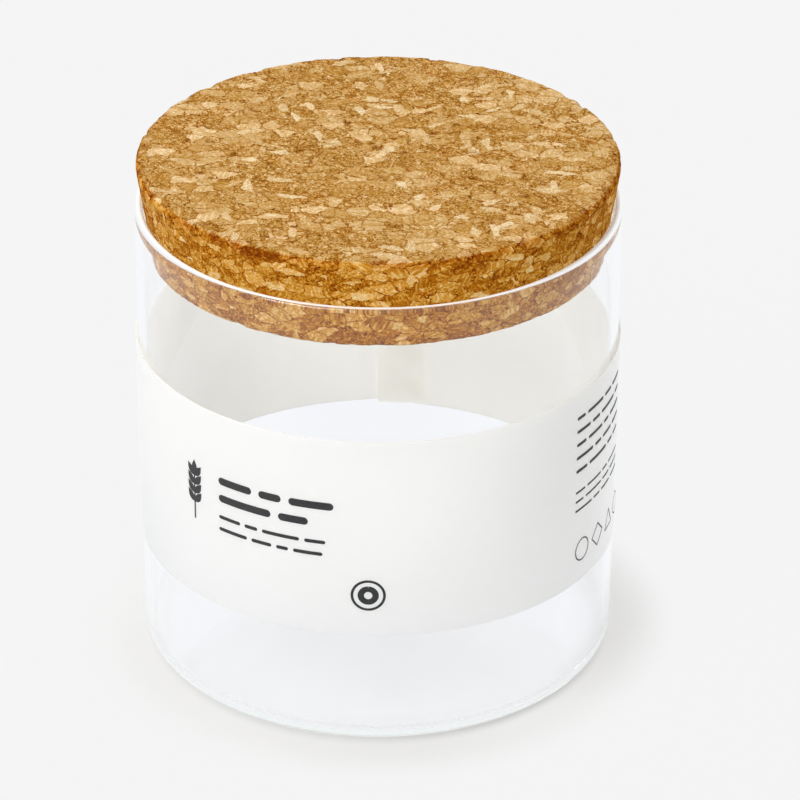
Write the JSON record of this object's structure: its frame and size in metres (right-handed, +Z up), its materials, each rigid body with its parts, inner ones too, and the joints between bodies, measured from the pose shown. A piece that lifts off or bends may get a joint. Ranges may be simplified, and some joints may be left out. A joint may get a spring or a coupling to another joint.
{
  "type": "glass storage jar with cork lid",
  "caption": "Straight-sided round glass storage jar with a thick tapered cork lid in its mouth and a plain white paper sleeve wound round the glass.",
  "frame": {"origin": "centre of the jar's foot, on the surface that it stands on", "axes": "+Z up along the jar's axis, -Y towards the picture's camera, +Y towards the sleeve's glued lap"},
  "size_m": [0.101, 0.1014, 0.111],
  "materials": {
    "clear_glass": "gloss",
    "pressed_cork": "matte",
    "white_paper": "matte",
    "dried_glue": "satin"
  },
  "bodies": {
    "jar": {"glass_jar": "clear_glass"},
    "lid": {"cork_lid": "pressed_cork"},
    "sleeve": {"paper_sleeve": "white_paper", "sleeve_glue": "dried_glue"}
  },
  "joints": [
    {"name": "lid_lift", "type": "slide", "parent": "jar", "child": "lid", "axis": [0, 0, 1], "range_m": [0, 0.06]},
    {"name": "sleeve_slide", "type": "slide", "parent": "jar", "child": "sleeve", "axis": [0, 0, 1], "range_m": [-0.0264, 0.086]}
  ]
}
